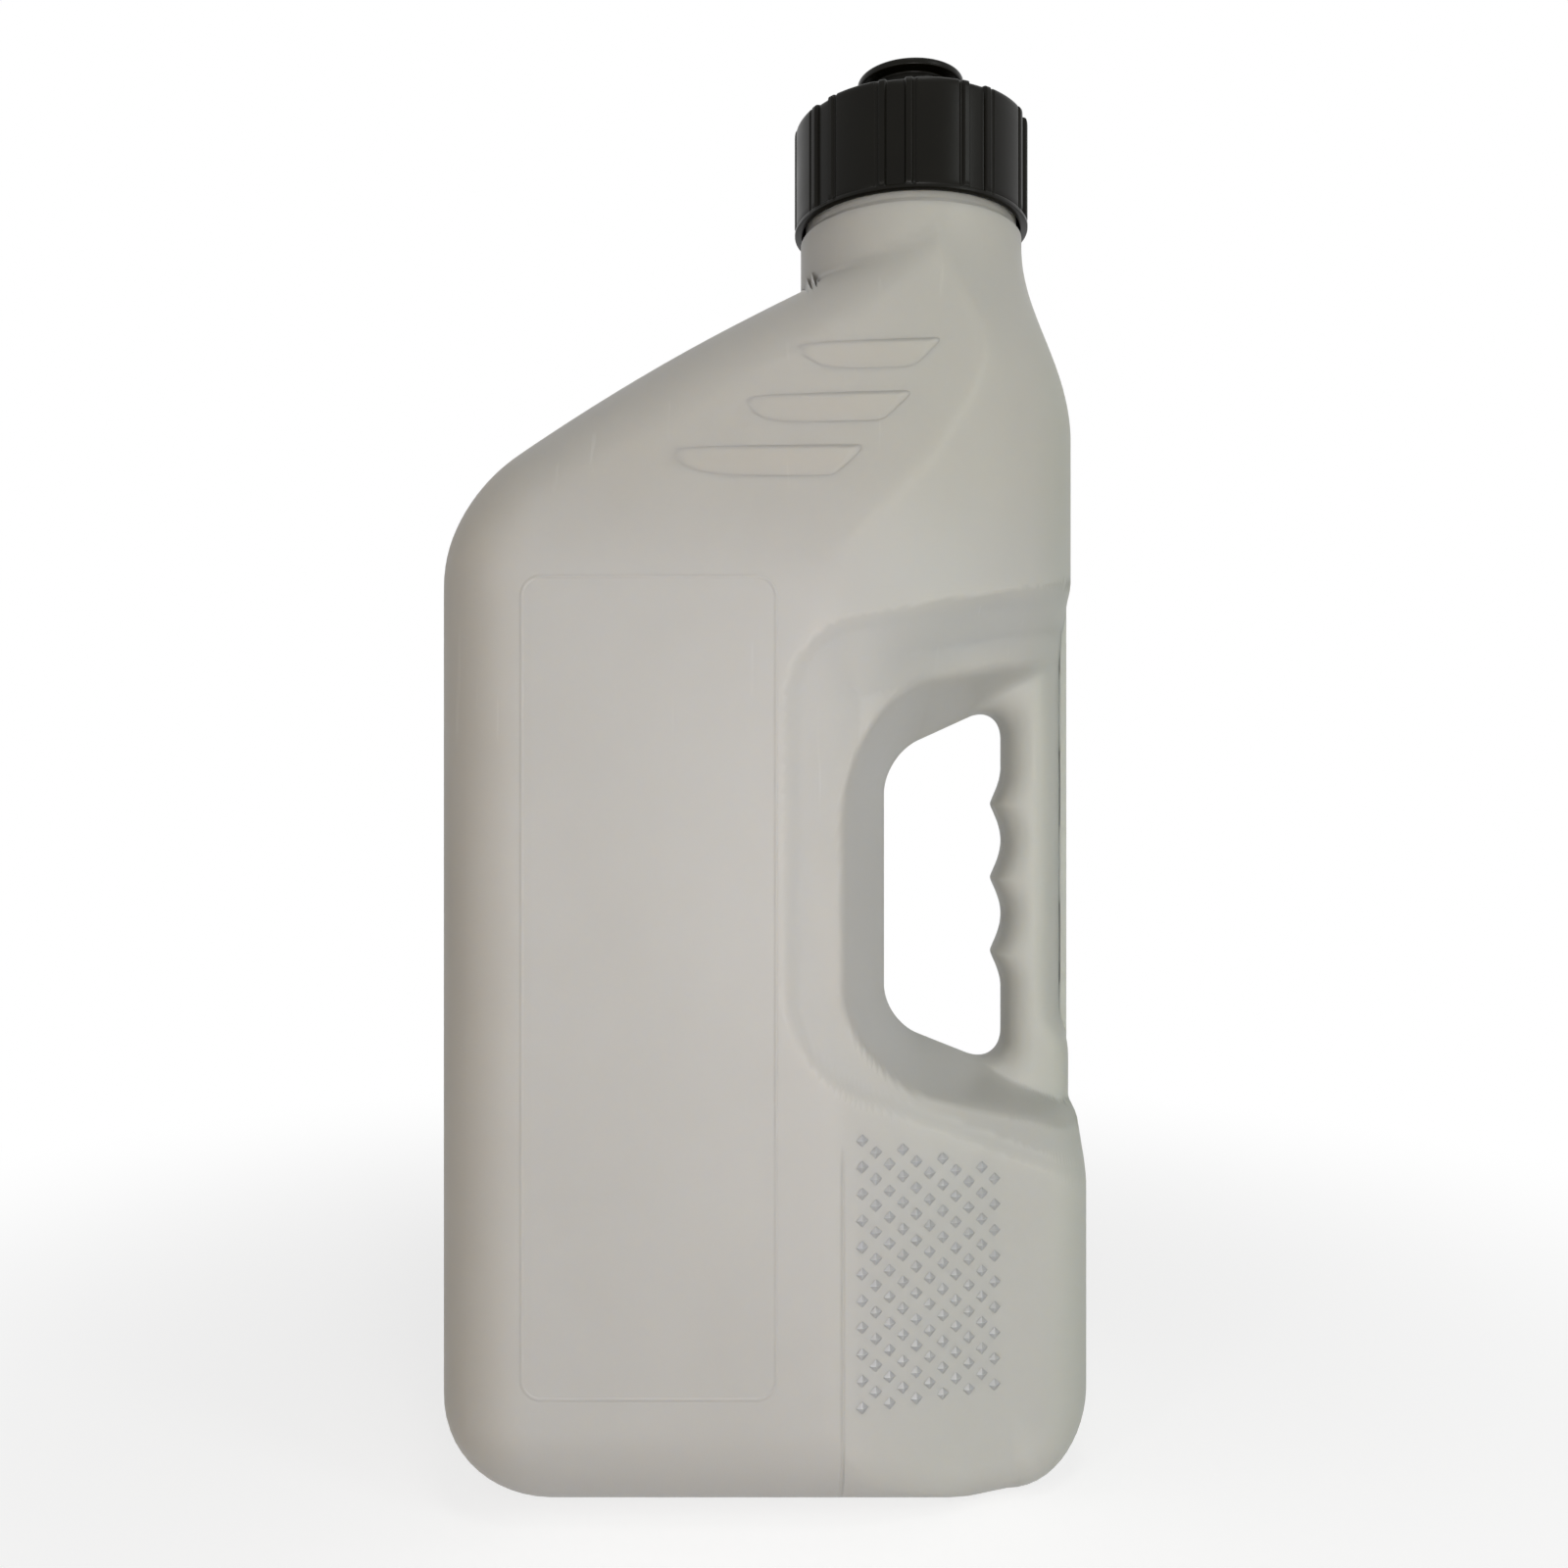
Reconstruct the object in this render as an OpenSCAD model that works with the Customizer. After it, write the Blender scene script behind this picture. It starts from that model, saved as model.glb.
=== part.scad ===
// Utility jug: a hollow blow-moulded body with a sloping top, a through handle on the
// right and an offset neck, closed by a ribbed screw cap that carries a small outlet cap.
// X runs to the handle side, Z up, and the mould's parting plane is Y = 0.

/* [Body] */
// Width of the body, from the plain side to the handle side
body_w = 276; // [264:1:290]
// Depth of the body, front panel to back panel
body_d = 202; // [190:1:214]
// Height of the shoulder of the neck, where the thread finish starts
body_h = 553; // [545:1:565]
// Thickness of the moulded wall
wall = 3; // [2.4:0.1:3.6]
// Radius of the lower corner on the handle side
corner_r = 38; // [34:1:44]
// Radius of the lower corner on the plain side and of the front and back edges of the base
plain_corner_r = 47; // [40:1:52]
// Radius of the corner between the plain side and the sloping top
slope_corner_r = 66; // [50:1:90]
// Radius that rounds the front and back panels into the sides
edge_r = 37; // [30:1:40]

/* [Sloping top and shoulder] */
// Height at which the sloping top would meet the plain side
slope_low_z = 419; // [410:1:430]
// Drop from the neck's shoulder to the top end of the slope
slope_drop = 31; // [24:1:38]
// Bulge of the slope above the straight line between its ends
slope_bulge = 6; // [0:0.5:9]
// Height of the panels, where the shoulders start to lean inwards
panel_h = 393; // [383:1:401]
// Lean of the front and back shoulders, in degrees
shoulder_lean = 18.3; // [16:0.1:19.5]
// Half depth that the shoulders keep beside the neck
shoulder_min = 57; // [55:1:60]
// Height of the handle side, where it starts to bend in towards the neck
side_h = 458; // [442:1:472]

/* [Handle-side facets] */
// Width of the tapered facet beside the panel, low on the body
facet_w = 112.5; // [104:0.5:118]
// Taper of that facet, in degrees
facet_taper = 20.8; // [18:0.1:23]
// Radius that rounds the facet into the handle side
facet_r = 30; // [24:1:34]
// Radius that rounds the facet into the base
facet_base_r = 20; // [16:1:28]
// Half width of the flat strip on the handle side, high on the body
strip_half = 4; // [3:0.5:6]
// Width over which the upper handle side curves round
curve_w = 200; // [180:1:220]
// Rise of that curve
curve_h = 107; // [104:1:110]

/* [Handle] */
// Width of the handle bar
bar_w = 30; // [27:0.5:33]
// Depth of the handle bar
bar_d = 38; // [34:1:42]
// Width of the opening behind the bar
hole_w = 55.5; // [50:0.5:58]
// Height of the opening along its straight side
hole_side_h = 124; // [112:1:132]
// Height of the middle of that straight side
hole_z = 252; // [245:1:259]
// Rise of the opening's top edge towards the bar, in degrees
hole_top_rise = 24.5; // [20:0.5:28]
// Fall of the opening's bottom edge towards the bar, in degrees
hole_bottom_fall = 21.7; // [18:0.5:26]
// Radius of the opening's corners
hole_r = 16; // [12:0.5:18]
// Distance between finger ridges
finger_pitch = 34.7; // [31:0.1:37]
// Height of the finger ridges
finger_h = 5.5; // [3:0.5:7]
// Draft of the wall beside the opening, in degrees
side_draft = 14.7; // [13:0.1:18]
// Draft of the wall above the opening, in degrees
top_draft = 18.4; // [16:0.1:21]
// Draft of the ledge below the opening, in degrees
bottom_draft = 9; // [7:0.5:12]

/* [Recess around the handle] */
// Distance from the opening to the edge of the recess
recess_reach = 48.5; // [44:0.5:52]
// Height of the recess at its edge
recess_side_h = 175; // [168:1:182]
// Height of the middle of that edge
recess_z = 274.5; // [270:0.5:279]
// Rise of the recess's top edge towards the bar, in degrees
recess_top_rise = 12.3; // [10:0.1:15]
// Fall of the recess's bottom edge towards the bar, in degrees
recess_bottom_fall = 24; // [21:0.5:27]
// Depth of the step into the recess
recess_step = 3.5; // [2:0.5:5]
// Width of the step's bevel
recess_bevel = 6.6; // [4:0.1:8]

/* [Neck] */
// Diameter of the neck below its finish
neck_d = 102.6; // [98:0.2:104]
// Distance from the neck's axis to the handle side
neck_inset = 73; // [69:0.5:77]
// Height of the thread finish above the neck's shoulder
finish_h = 45.6; // [42:0.2:50]
// How far the finish steps in from the neck, on the radius
finish_step = 1.4; // [1:0.1:2]
// Thickness of the finish
finish_wall = 3.4; // [3:0.1:4.4]

/* [Screw cap] */
// Clearance between the finish and the cap's bore, on the radius
thread_gap = 0.7; // [0.5:0.05:0.9]
// Thickness of the cap's skirt, without its ribs
skirt = 3.4; // [2.6:0.1:4]
// Thickness of the cap's top
cap_top = 4.4; // [2.4:0.1:5]
// Gap between the neck's shoulder and the cap's lower rim
rim_gap = 4.5; // [3:0.1:6]
// Number of rib pairs round the cap
rib_pairs = 9; // [7:1:11]
// Height of a rib above the smooth panels
rib_h = 0.3; // [0.1:0.1:1]
// Width of a rib
rib_w = 3.5; // [2.8:0.1:4.4]
// Distance between the two ribs of a pair
rib_gap = 11.9; // [10:0.1:14]
// Depth of the groove between them
groove = 1.4; // [0.4:0.1:2]
// Width of the narrow valley outside each rib
valley_w = 1.2; // [0.6:0.1:2]
// Depth of that valley
valley = 0.7; // [0.3:0.1:1.2]
// Height of the collar at the cap's lower rim
collar_h = 1.8; // [1:0.1:2.6]
// Bevel of the cap's upper edge
cap_bevel = 1.2; // [0.6:0.1:2.4]
// Thickness of the sealing rings
gasket_t = 2.2; // [1.8:0.1:2.6]
// Play on each face of a sealing ring
seal_gap = 0.3; // [0.2:0.05:0.4]
// Width of the large sealing ring
gasket_w = 8; // [6:0.5:9]

/* [Outlet] */
// Diameter of the outlet's bore
outlet_bore = 27; // [22:0.5:28]
// Thickness of the outlet's wall
outlet_wall = 3; // [2.4:0.1:3.4]
// Height of the outlet above the cap
outlet_h = 17.2; // [14:0.2:20]
// Clearance between the outlet and its small cap, on the radius
outlet_gap = 0.45; // [0.35:0.05:0.6]
// Thickness of the small cap's skirt
outlet_skirt = 2.3; // [1.8:0.1:2.8]
// Diameter of the small cap's flange
flange_d = 49.4; // [46:0.2:53]
// Thickness of the flange
flange_t = 3.4; // [2.6:0.1:4.2]
// Gap between the small cap's skirt and the large cap
skirt_gap = 2; // [1:0.1:3]
// Width of the small sealing ring
small_gasket_w = 3; // [2:0.1:3]

/* [Hidden] */
$fn = 96;
half_w = body_w / 2;
half_d = body_d / 2;
neck_r = neck_d / 2;
neck_x = half_w - neck_inset;
neck_left = neck_x - neck_r;
slope_high_z = body_h - slope_drop;
slope_angle = atan2(slope_high_z - slope_low_z, neck_left + half_w);
facet_rise = facet_r * cos(facet_taper) + tan(facet_taper) * (facet_w - facet_r * (1 - sin(facet_taper)));
facet_half = half_d - facet_rise;
hole_right = half_w - bar_w;
hole_left = hole_right - hole_w;
hole_x = (hole_left + hole_right) / 2;
recess_left = hole_left - recess_reach;
facet_x = half_w - facet_w;
// The heights between which the outline carries more spokes, for the handle.
grip_top_z = hole_z + 118;
grip_bottom_z = hole_z - 102;
low_z = grip_bottom_z - 43;
// Where the handle side bends in to the neck, and where it turns from facet to curve.
neck_fade = 5;
neck_rise = 20;
side_fade = 30;
facet_top_z = 167;
// Where the facet's lower edge changes from its own radius to that of the base's edge.
base_fade_from = 60;
base_fade = 52;
// Least half depth, at the seam, and the widths of the soft crossings between surfaces.
seam_half = 1.2;
blend = 8;
panel_blend = 5;
facet_blend = 5;
neck_blend = 3;
side_blend = 0.5;
// Slope of a surface beyond its own edge, where another one takes over.
fall_off = 6;
// The recess: its corner radius, the lean of its floor, and the sill that rises below the bar.
recess_r = 28;
floor_lean = 0.3;
floor_width = 25;
sill_lean = 0.65;
sill_width = 18;
sill_from = 17;
sill_fade = 45;
// The bar: how square its section is, and where its ends fade into the opening's corners.
bar_power = 2.6;
bar_corner = 18;
bar_fade = 8;
// The finger ridges: height of the middle one above the opening's middle, how far the row
// reaches in pitches, and how sharp the ridges are.
finger_up = 4.8;
finger_reach = 1.5;
finger_soft = 0.01;
// The mesh: limits and halvings of the search for the opening's edge, and room between rings.
edge_from = 5;
edge_to = 130;
halvings = 24;
ring_room = 8;
finish_r = neck_r - finish_step;
finish_bore_r = finish_r - finish_wall;
rim_z = body_h + finish_h;
gasket_z = rim_z + seal_gap;
cap_bore_r = finish_r + thread_gap;
cap_r = cap_bore_r + skirt;
cap_z = body_h + rim_gap;
cap_under_z = gasket_z + gasket_t + seal_gap;
cap_top_z = cap_under_z + cap_top;
outlet_r = outlet_bore / 2 + outlet_wall;
outlet_z = cap_top_z + outlet_h;
small_gasket_z = outlet_z + seal_gap;
small_under_z = small_gasket_z + gasket_t + seal_gap;
// Direction of the first pair of ribs, in degrees, and how deep the ribs reach into the skirt.
first_pair = -63;
rib_root = 2;
plain_black = [0.10, 0.095, 0.08];

// Small helpers. ramp() eases from 0 to 1, low() and high() are a minimum and a maximum
// with a soft crossing of width k, and inset() is the distance inside a rounded corner.
// arc() is the height of a rounded edge of radius r at the distance d from it.
function ramp(t) = let (c = min(1, max(0, t))) c * c * (3 - 2 * c);
function mix(a, b, t) = a + (b - a) * t;
function low(a, b, k) = let (t = min(1, max(0, 0.5 + 0.5 * (b - a) / k))) mix(b, a, t) - k * t * (1 - t);
function high(a, b, k) = -low(-a, -b, k);
function inset(list, r) = max(r, min(list)) - norm([for (d = list) max(r - d, 0)]);
function arc(d, r, o) = d <= o ? fall_off * (d - o) : d >= r ? r - o : sqrt(pow(r - o, 2) - pow(r - d, 2));

// Distances to the straight sides of the body, seen from the front. o is how far a skin
// lies inside the outer one: 0 for the outer skin and the wall's thickness for the inner.
function side_x(z) = mix(half_w, neck_x + neck_r, ramp((z - side_h) / (body_h - neck_fade - side_h)));
function slope_z(x) = slope_low_z + (x + half_w) * tan(slope_angle);
function slope_d(x, z) = (slope_z(x) - z) * cos(slope_angle);
function slope_rise(x) =
    let (t = min(1, max(0, (x + half_w) / (neck_left + half_w)))) 4 * slope_bulge * t * (1 - t);

// Distance to the plain side and the sloping top, with the round corner between them.
bend_x = slope_corner_r - half_w;
bend_z = slope_z(bend_x) - slope_corner_r / cos(slope_angle);
function side_d(d, x, z) =
    let (up = z - slope_rise(x), q = [x - bend_x, up - bend_z])
    q[1] > 0 && q * [cos(slope_angle), sin(slope_angle)] < 0 ? slope_corner_r - norm(q)
                                                             : min(d, slope_d(x, up));

// In a lower corner of radius r, the distance to its rounded outline at the distances d from the
// side and z from the base, and the side's share there: 1 towards the side, 0 towards the base.
function corner_d(d, z, r) = d >= r ? d : r - norm([r - d, max(0, r - z)]);
function side_share(d, z, r) = d >= r ? 0 : pow(r - d, 2) / (pow(r - d, 2) + pow(max(0, r - z), 2));
function with_base(side_value, base_value, d, z, r) =
    z >= r ? side_value : mix(base_value, side_value, side_share(d, z, r));

// Half depth at the plain side, the base and the sloping top.
function plain_half(x, z, o) =
    let (d = x + half_w, r = plain_corner_r, c = corner_d(d, z, r),
         side = panel_half(z, 0) - edge_r + arc(side_d(c, x, z), edge_r, o))
    with_base(side, half_d - r + arc(d < r ? c : z, r, o), d, z, r);

// Half depth of the tapered facet low on the handle side.
function facet_half_at(d, o) =
    let (turn = facet_r - (facet_r - o) * sin(facet_taper))
    d < turn ? facet_half + arc(d, facet_r, o)
             : half_d - tan(facet_taper) * (facet_w - d) - o / cos(facet_taper);

// Half depth of the upper handle side, which closes in to the round neck.
function curve_half_at(d, z, o) =
    let (up = ramp((z - side_h - neck_rise) / (body_h - neck_fade - side_h - neck_rise)),
         w = mix(curve_w, neck_r, up), rise = mix(curve_h, neck_r, up), t = (w - d) / (w - o))
    d <= o ? mix(strip_half, 0, up) + fall_off * (d - o)
           : mix(strip_half, 0, up) + (rise - o) * sqrt(1 - pow(max(0, t), 2));
function handle_side_half(x, z, o) =
    let (d = side_x(z) - x, c = corner_d(d, z, corner_r),
         r = mix(facet_base_r, corner_r, ramp((d - base_fade_from) / base_fade)),
         base = facet_half_at(max(d, corner_r), o) + o - r + arc(d < corner_r ? c : z, r, o))
    mix(with_base(facet_half_at(c, o), base, d, z, corner_r), curve_half_at(d, z, o),
        ramp((z - facet_top_z) / side_fade));

// Half depth of the whole body with the neck, before the recess and the handle.
function neck_half(x, o) = sqrt(max(0, pow(neck_r - o, 2) - pow(x - neck_x, 2)));
function shoulder_half(z, o) =
    high(half_d - (z - panel_h) * tan(shoulder_lean), shoulder_min, blend) - o / cos(shoulder_lean);
function panel_half(z, o) = low(half_d - o, shoulder_half(z, o), panel_blend);
function body_half(x, z, o) =
    low(low(panel_half(z, o), handle_side_half(x, z, o), facet_blend),
        high(plain_half(x, z, o), neck_half(x, o), neck_blend), side_blend);

// The recess: a bevelled step, and a floor that leans in towards the handle.
function recess_bottom(x, z) = let (f = recess_bottom_fall)
    (z - recess_z + recess_side_h / 2 + (x - recess_left) * tan(f)) * cos(f);
function recess_top(x, z) = let (f = recess_top_rise)
    (recess_z + recess_side_h / 2 + (x - recess_left) * tan(f) - z) * cos(f);
function recess_drop(x, z) =
    let (d = inset([x - recess_left, recess_bottom(x, z), recess_top(x, z)], recess_r),
         sill = min(sill_width, max(0, recess_bottom(x, z) - recess_bevel)))
    recess_step * ramp(d / recess_bevel) + floor_lean * min(floor_width, max(0, d - recess_bevel))
    + sill_lean * min(sill, max(0, d)) * ramp((x - hole_left + sill_from) / sill_fade);

// The opening behind the bar, and the walls that lead down to it.
function hole_bottom(x, z) = let (f = hole_bottom_fall)
    (z - hole_z + hole_side_h / 2 + (x - hole_left) * tan(f)) * cos(f);
function hole_top(x, z) = let (f = hole_top_rise)
    (hole_z + hole_side_h / 2 + (x - hole_left) * tan(f) - z) * cos(f);
function finger_x(z) =
    let (t = (z - hole_z - finger_up) / finger_pitch, s = sin(180 * t))
    hole_right - (abs(t) > finger_reach ? 0 : finger_h * (1 - sqrt(s * s + finger_soft)));
function hole_d(x, z) =
    inset([x - hole_left, hole_bottom(x, z), hole_top(x, z), finger_x(z) - x], hole_r);
function wall_half(x, z, o) =
    let (a = max(0, hole_r - x + hole_left), b = max(0, hole_r - hole_bottom(x, z)),
         c = max(0, hole_r - hole_top(x, z)), n = max(0.001, norm([a, b, c])),
         s = (a * a / tan(side_draft) + b * b / tan(bottom_draft) + c * c / tan(top_draft)) / (n * n))
    s * (n - hole_r) - o * sqrt(1 + s * s);
function bar_half(x, z, o) =
    let (corner = -hole_d(x, z) * ramp((x - hole_right + bar_corner) / bar_fade),
         from = max(x - finger_x(z), corner) - o, to = side_x(z) - x - o,
         u = from / max(1, from + to))
    (u <= 0 || u >= 1) ? 0 : (bar_d / 2 - o) * pow(1 - pow(abs(2 * u - 1), bar_power), 1 / bar_power);
function half_depth(x, z, o) =
    max(seam_half, low(body_half(x, z, o) - recess_drop(x, z),
                       high(bar_half(x, z, o), wall_half(x, z, o), blend), blend));

// Outline of the body from the front, clockwise from the neck's right side.
function span(a, b, n) = [for (i = [0:n - 1]) a + (b - a) * i / n];
function turn(c, r, from, to, n) = [for (a = span(from, to, n)) c + r * [cos(a), sin(a)]];
function raised(list) = [for (p = list) p + [0, slope_rise(p[0])]];
slope_turn = 90 - slope_angle;
outer_counts = [8, 6, 30, 8, 2, 5, 8, 5, 8, 6, 5, 2];
inner_counts = [4, 4, 30, 4, 2, 4, 4, 4, 4, 4, 3, 1];
function outline(o, n) =
    let (bend = slope_corner_r - o, top = 180 - slope_turn,
         slope_from = [bend_x, bend_z] + bend * [cos(top), sin(top)],
         slope_to = [neck_left + o, slope_z(neck_left + o) - o / cos(slope_angle)])
    concat(
        [for (z = span(body_h, side_h, n[0])) [side_x(z) - o, z]],
        [for (z = span(side_h, grip_top_z, n[1])) [half_w - o, z]],
        [for (z = span(grip_top_z, grip_bottom_z, n[2])) [half_w - o, z]],
        [for (z = span(grip_bottom_z, low_z, n[3])) [half_w - o, z]],
        [for (z = span(low_z, corner_r, n[4])) [half_w - o, z]],
        turn([half_w - corner_r, corner_r], corner_r - o, 0, -90, n[5]),
        [for (x = span(half_w - corner_r, plain_corner_r - half_w, n[6])) [x, o]],
        turn([plain_corner_r - half_w, plain_corner_r], plain_corner_r - o, 270, 180, n[7]),
        [for (z = span(plain_corner_r, bend_z, n[8])) [o - half_w, z]],
        raised(turn([bend_x, bend_z], bend, 180, top, n[9])),
        raised([for (t = span(0, 1, n[10])) mix(slope_from, slope_to, t)]),
        [for (z = span(slope_to[1], body_h, n[11])) [neck_left + o, z]]);
mouth_n = 22;
function mouth(o) = [for (a = span(180, 0, mouth_n)) [neck_x + (neck_r - o) * cos(a), body_h]];

// Distance from the opening's centre to its edge, along the direction u, by halving.
function edge_at(u, level, lo, hi, n) =
    let (m = (lo + hi) / 2, p = [hole_x, hole_z] + m * u)
    n == 0 ? m : hole_d(p[0], p[1]) > level ? edge_at(u, level, m, hi, n - 1)
                                            : edge_at(u, level, lo, m, n - 1);

// A skin is a grid of spokes from the opening's edge to the outline. near holds the rings'
// distances from the opening and far those from the outline, both shortened on the bar.
// Of the two rings between them, one follows the panel's top edge or its crease with the facet.
outer_near = [0, 2, 7, 14, 21, 26, 34, 41, 48];
outer_far = [52, 34, 22, 13, 6, 2, 0];
inner_near = [0, 6, 16, 24, 40];
inner_far = [44, 22, 8, 0];
function spoke(p, o, near, far) =
    let (c = [hole_x, hole_z], u = (p - c) / norm(p - c),
         from = edge_at(u, -o, edge_from, edge_to, halvings),
         l = norm(p - c) - from, last = near[len(near) - 1], f = min(1, l / (last + far[0] + ring_room)),
         s = c + from * u,
         crease = u[1] > 0 ? (panel_h - s[1]) / u[1] : u[0] < 0 ? (facet_x - s[0]) / u[0] : l / 2,
         middle = max((last + ring_room / 2) * f, min(l - (far[0] + ring_room) * f, crease)),
         rings = concat(near * f, [middle, (middle + l - far[0] * f) / 2], [for (e = far) l - e * f]))
    [for (d = rings) s + d * u];
function skin(side, o, n, near, far) =
    [for (p = concat(outline(o, n), mouth(o)), q = spoke(p, o, near, far))
        [q[0], side * half_depth(q[0], q[1], o), q[1]]];

function flip(list, on) = on ? [for (t = list) [t[2], t[1], t[0]]] : list;
function quad(a, b, c, d) = [[a, b, c], [a, c, d]];
function sheet(base, n, m) =
    [for (i = [0:n - 1], j = [0:m - 2])
        let (a = base + i * m + j, b = base + ((i + 1) % n) * m + j)
        each quad(a, a + 1, b + 1, b)];
function strip(front, back, n, m, j, count) =
    [for (i = [0:count - 1]) let (k = (i + 1) % n)
        each quad(front + k * m + j, front + i * m + j, back + i * m + j, back + k * m + j)];
function rim(a, ma, na, b, mb, nb) =
    [for (t = [0:mouth_n - 1])
        let (i = na - mouth_n + t, k = (i + 1) % na, j = nb - mouth_n + t, l = (j + 1) % nb)
        each quad(a + i * ma + ma - 1, b + j * mb + mb - 1, b + l * mb + mb - 1, a + k * ma + ma - 1)];

module moulded_shell() {
    n = len(outline(0, outer_counts)) + mouth_n;
    n_in = len(outline(0, inner_counts)) + mouth_n;
    from = n - mouth_n;
    from_in = n_in - mouth_n;
    mo = len(outer_near) + 2 + len(outer_far);
    mi = len(inner_near) + 2 + len(inner_far);
    b_out = n * mo;
    f_in = 2 * n * mo;
    b_in = f_in + n_in * mi;
    points = concat(skin(-1, 0, outer_counts, outer_near, outer_far),
                    skin(1, 0, outer_counts, outer_near, outer_far),
                    skin(-1, wall, inner_counts, inner_near, inner_far),
                    skin(1, wall, inner_counts, inner_near, inner_far));
    // The two ends of the mouth, where its front and back halves meet.
    left = [from * mo + mo - 1, b_out + from * mo + mo - 1,
            b_in + from_in * mi + mi - 1, f_in + from_in * mi + mi - 1];
    right = [f_in + mi - 1, b_in + mi - 1, b_out + mo - 1, mo - 1];
    faces = concat(
        sheet(0, n, mo), flip(sheet(b_out, n, mo), true),
        flip(sheet(f_in, n_in, mi), true), sheet(b_in, n_in, mi),
        strip(0, b_out, n, mo, mo - 1, from), flip(strip(0, b_out, n, mo, 0, n), true),
        flip(strip(f_in, b_in, n_in, mi, mi - 1, from_in), true), strip(f_in, b_in, n_in, mi, 0, n_in),
        rim(0, mo, n, f_in, mi, n_in), flip(rim(b_out, mo, n, b_in, mi, n_in), true),
        quad(left[0], left[1], left[2], left[3]), quad(right[0], right[1], right[2], right[3]));
    polyhedron(points, faces, convexity = 10);
}

// The thread finish overlaps the moulded shell by the wall's thickness.
module finish() {
    translate([neck_x, 0, body_h - wall]) difference() {
        cylinder(r = finish_r, h = finish_h + wall);
        translate([0, 0, -1]) cylinder(r = finish_bore_r, h = finish_h + wall + 2);
    }
}

module jug_body() {
    color([0.76, 0.75, 0.72]) union() {
        moulded_shell();
        finish();
    }
}

// Grip section of the cap: smooth panels between pairs of ribs, with a groove between the two
// ribs of a pair and a narrow valley outside each.
module grip_section() {
    valley_y = (rib_gap + rib_w + valley_w) / 2;
    difference() {
        union() {
            circle(r = cap_r);
            at_each_pair() for (s = [-1, 1])
                translate([cap_r - rib_root, s * rib_gap / 2 - rib_w / 2]) square([rib_root + rib_h, rib_w]);
        }
        at_each_pair() translate([cap_r - groove, (rib_w - rib_gap) / 2])
            square([groove + rib_h + 1, rib_gap - rib_w]);
        at_each_pair() for (s = [-1, 1])
            translate([sqrt(pow(cap_r, 2) - pow(valley_y, 2)) - valley, s * valley_y - valley_w / 2])
                square([valley + 1, valley_w]);
    }
}

module at_each_pair() {
    for (i = [0:rib_pairs - 1]) rotate(i * 360 / rib_pairs + first_pair) children();
}

module screw_cap() {
    cap_h = cap_top_z - cap_z;
    full_r = cap_r + rib_h;
    color(plain_black) translate([neck_x, 0, 0]) difference() {
        union() {
            intersection() {
                translate([0, 0, cap_z]) linear_extrude(cap_h) grip_section();
                rotate_extrude() polygon([[0, cap_z], [full_r + 1, cap_z],
                    [full_r + 1, cap_top_z - cap_bevel - 1], [full_r - cap_bevel, cap_top_z],
                    [0, cap_top_z]]);
            }
            translate([0, 0, cap_z]) cylinder(r = cap_r + rib_h / 2, h = collar_h);
            translate([0, 0, cap_top_z - 1]) cylinder(r = outlet_r, h = outlet_h + 1);
        }
        translate([0, 0, cap_z - 1]) cylinder(r = cap_bore_r, h = cap_under_z - cap_z + 1);
        translate([0, 0, cap_z]) cylinder(r = outlet_bore / 2, h = cap_h + outlet_h + 1);
    }
}

module sealing_ring(r, w, z) {
    color([0.16, 0.16, 0.16]) translate([neck_x, 0, z]) difference() {
        cylinder(r = r, h = gasket_t);
        translate([0, 0, -1]) cylinder(r = r - w, h = gasket_t + 2);
    }
}

module cap_gasket() {
    sealing_ring(cap_bore_r - seal_gap, gasket_w, gasket_z);
}

module outlet_gasket() {
    sealing_ring(outlet_r, small_gasket_w, small_gasket_z);
}

module outlet_cap() {
    bore_r = outlet_r + outlet_gap;
    skirt_r = bore_r + outlet_skirt;
    flange_r = flange_d / 2;
    round_r = flange_t / 3;
    top_z = small_under_z + flange_t;
    color(plain_black) translate([neck_x, 0, 0]) difference() {
        rotate_extrude() polygon([[0, cap_top_z + skirt_gap], [skirt_r, cap_top_z + skirt_gap],
            [skirt_r, small_under_z], [flange_r - round_r, small_under_z],
            [flange_r, small_under_z + round_r], [flange_r, top_z - round_r],
            [flange_r - round_r, top_z], [0, top_z]]);
        translate([0, 0, cap_top_z]) cylinder(r = bore_r, h = small_under_z - cap_top_z);
    }
}

jug_body();
screw_cap();
cap_gasket();
outlet_cap();
outlet_gasket();
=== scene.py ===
import math

import bpy
import numpy as np
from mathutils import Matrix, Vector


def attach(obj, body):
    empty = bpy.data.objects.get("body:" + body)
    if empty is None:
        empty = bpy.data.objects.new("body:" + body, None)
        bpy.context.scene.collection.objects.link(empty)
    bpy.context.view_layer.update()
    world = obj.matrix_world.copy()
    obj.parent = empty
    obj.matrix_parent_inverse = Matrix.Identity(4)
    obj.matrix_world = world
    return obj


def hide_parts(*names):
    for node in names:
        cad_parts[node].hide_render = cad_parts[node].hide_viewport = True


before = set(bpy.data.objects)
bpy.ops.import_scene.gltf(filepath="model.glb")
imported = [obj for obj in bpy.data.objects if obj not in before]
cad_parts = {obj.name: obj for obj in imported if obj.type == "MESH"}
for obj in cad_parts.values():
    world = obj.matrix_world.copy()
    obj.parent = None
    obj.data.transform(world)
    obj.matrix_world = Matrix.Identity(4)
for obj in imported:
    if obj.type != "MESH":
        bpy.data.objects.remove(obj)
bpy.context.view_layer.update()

# Sizes from the CAD part
BODY_W, BODY_D, BODY_H, WALL = 276.0, 202.0, 553.0, 3.0
HALF_W, HALF_D = BODY_W / 2, BODY_D / 2
CORNER_R, PLAIN_R, SLOPE_CORNER_R, EDGE_R, FACET_BASE_R = 38.0, 47.0, 66.0, 37.0, 20.0
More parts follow.
